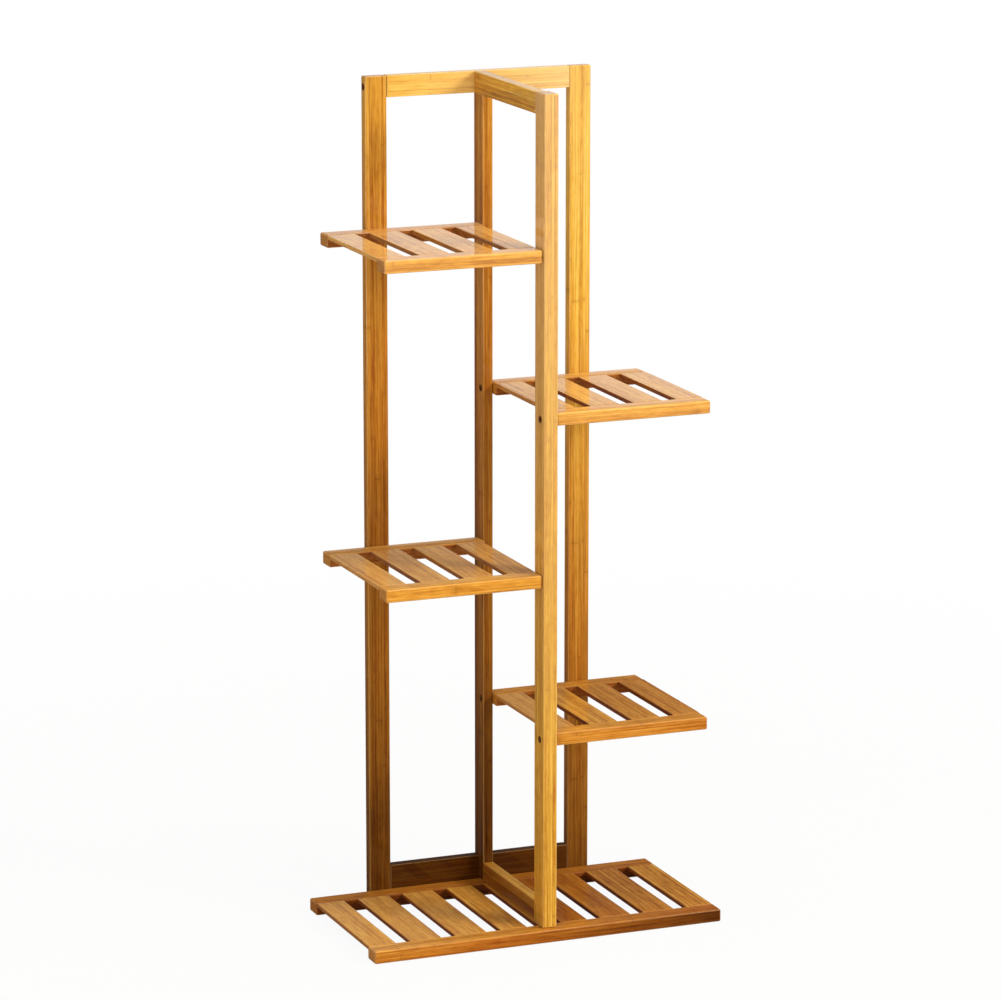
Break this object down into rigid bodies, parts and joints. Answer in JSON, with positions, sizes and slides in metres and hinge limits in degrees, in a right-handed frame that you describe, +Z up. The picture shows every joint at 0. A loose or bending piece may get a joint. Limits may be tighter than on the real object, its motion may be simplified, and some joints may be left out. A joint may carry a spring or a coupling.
{
  "type": "tiered plant stand",
  "caption": "Free-standing bamboo plant stand: a slatted base, a tall T-shaped frame and slatted shelves that alternate left and right of its divider.",
  "frame": {"origin": "on the floor, under the middle of the stand's bounding box", "axes": "+Z up, +X to the right seen from the front, +Y to the back"},
  "size_m": [0.43, 0.2328, 0.98],
  "materials": {
    "bamboo_rail": "clear gloss lacquer",
    "bamboo_slat": "clear gloss lacquer",
    "bamboo_frame": "clear gloss lacquer",
    "steel_screw": "dull zinc"
  },
  "bodies": {
    "root": {"base_front_rail": "bamboo_rail", "base_rear_rail": "bamboo_rail", "base_slat_1": "bamboo_slat", "base_slat_2": "bamboo_slat", "base_slat_3": "bamboo_slat", "base_slat_4": "bamboo_slat", "base_slat_5": "bamboo_slat", "base_slat_6": "bamboo_slat", "base_slat_7": "bamboo_slat", "base_slat_8": "bamboo_slat", "base_slat_9": "bamboo_slat", "centre_bottom_rail": "bamboo_frame", "centre_top_rail": "bamboo_frame", "front_foot_screw": "steel_screw", "front_upright": "bamboo_frame", "middle_upright": "bamboo_frame", "rear_bottom_rail": "bamboo_frame", "rear_foot_screw_left": "steel_screw", "rear_foot_screw_right": "steel_screw", "rear_top_rail": "bamboo_frame", "rear_top_screw_left": "steel_screw", "rear_top_screw_right": "steel_screw", "rear_upright_left": "bamboo_frame", "rear_upright_right": "bamboo_frame", "shelf_1_front_rail": "bamboo_rail", "shelf_1_front_screw": "steel_screw", "shelf_1_middle_screw": "steel_screw", "shelf_1_rear_rail": "bamboo_rail", "shelf_1_rear_screw": "steel_screw", "shelf_1_slat_1": "bamboo_slat", "shelf_1_slat_2": "bamboo_slat", "shelf_1_slat_3": "bamboo_slat", "shelf_1_slat_4": "bamboo_slat", "shelf_2_front_rail": "bamboo_rail", "shelf_2_front_screw": "steel_screw", "shelf_2_middle_screw": "steel_screw", "shelf_2_rear_rail": "bamboo_rail", "shelf_2_rear_screw": "steel_screw", "shelf_2_slat_1": "bamboo_slat", "shelf_2_slat_2": "bamboo_slat", "shelf_2_slat_3": "bamboo_slat", "shelf_2_slat_4": "bamboo_slat", "shelf_3_front_rail": "bamboo_rail", "shelf_3_front_screw": "steel_screw", "shelf_3_middle_screw": "steel_screw", "shelf_3_rear_rail": "bamboo_rail", "shelf_3_rear_screw": "steel_screw", "shelf_3_slat_1": "bamboo_slat", "shelf_3_slat_2": "bamboo_slat", "shelf_3_slat_3": "bamboo_slat", "shelf_3_slat_4": "bamboo_slat", "shelf_4_front_rail": "bamboo_rail", "shelf_4_front_screw": "steel_screw", "shelf_4_middle_screw": "steel_screw", "shelf_4_rear_rail": "bamboo_rail", "shelf_4_rear_screw": "steel_screw", "shelf_4_slat_1": "bamboo_slat", "shelf_4_slat_2": "bamboo_slat", "shelf_4_slat_3": "bamboo_slat", "shelf_4_slat_4": "bamboo_slat"}
  },
  "joints": []
}
